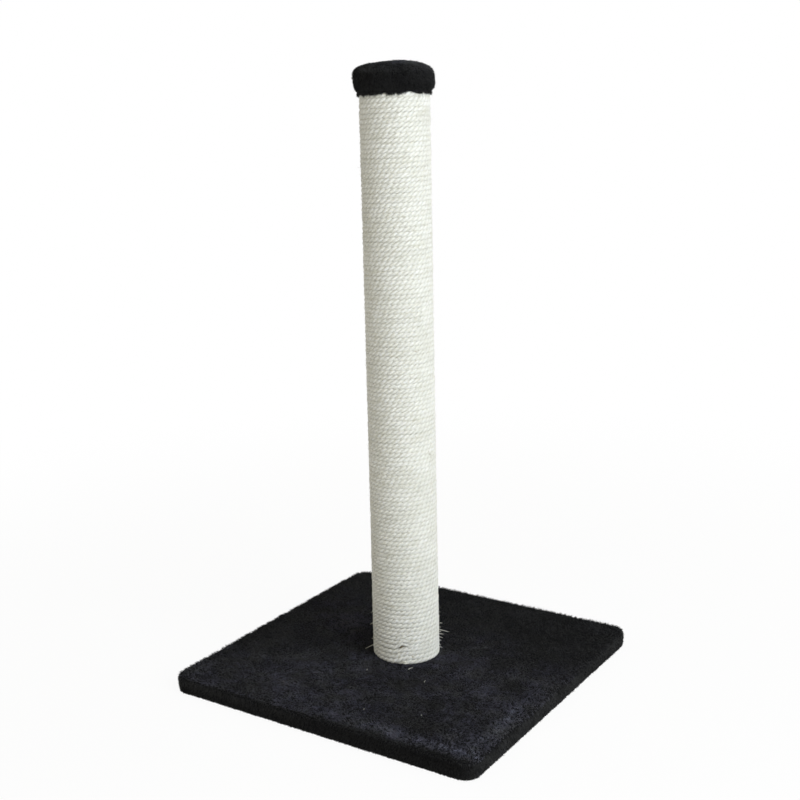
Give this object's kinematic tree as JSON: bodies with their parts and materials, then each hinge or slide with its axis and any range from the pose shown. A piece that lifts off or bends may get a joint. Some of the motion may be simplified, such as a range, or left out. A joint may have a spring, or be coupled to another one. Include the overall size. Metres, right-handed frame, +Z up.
{
  "type": "cat scratching post",
  "caption": "Upright scratching post wound with pale sisal rope, with a domed plush cap, standing on a square plush-covered board.",
  "frame": {"origin": "middle of the underside of the square base, on the floor", "axes": "+Z up along the post, X and Y along the sides of the base"},
  "size_m": [0.453, 0.453, 0.8018],
  "materials": {
    "plush": "short black plush pile with a faint blue-grey sheen",
    "chipboard": "raw chipboard",
    "paperboard": "brown spiral-wound paperboard",
    "pine": "raw pine",
    "sisal": "bleached three-strand sisal rope",
    "wadding": "white polyester wadding",
    "zinc_steel": "bright zinc plate"
  },
  "bodies": {
    "root": {"base_board": "chipboard", "base_plush": "plush", "post_bolt": "zinc_steel", "bolt_washer": "zinc_steel", "hem_staple_1": "zinc_steel", "hem_staple_2": "zinc_steel", "hem_staple_3": "zinc_steel", "hem_staple_4": "zinc_steel", "hem_staple_5": "zinc_steel", "hem_staple_6": "zinc_steel", "hem_staple_7": "zinc_steel", "hem_staple_8": "zinc_steel", "hem_staple_9": "zinc_steel", "hem_staple_10": "zinc_steel", "hem_staple_11": "zinc_steel", "hem_staple_12": "zinc_steel", "hem_staple_13": "zinc_steel", "hem_staple_14": "zinc_steel", "hem_staple_15": "zinc_steel", "hem_staple_16": "zinc_steel", "post_tube": "paperboard", "bottom_plug": "pine", "top_plug": "pine", "tee_nut": "zinc_steel", "sisal_rope": "sisal", "cap_dowel_screw": "zinc_steel", "bottom_plug_nail_1": "zinc_steel", "bottom_plug_nail_2": "zinc_steel", "bottom_plug_nail_3": "zinc_steel", "bottom_plug_nail_4": "zinc_steel", "top_plug_nail_1": "zinc_steel", "top_plug_nail_2": "zinc_steel", "top_plug_nail_3": "zinc_steel", "top_plug_nail_4": "zinc_steel", "rope_end_staple_1": "zinc_steel", "rope_end_staple_2": "zinc_steel", "cap_disc": "chipboard", "cap_wadding": "wadding", "cap_plush": "plush", "cap_staple_1": "zinc_steel", "cap_staple_2": "zinc_steel", "cap_staple_3": "zinc_steel", "cap_staple_4": "zinc_steel", "cap_staple_5": "zinc_steel", "cap_staple_6": "zinc_steel"}
  },
  "joints": []
}
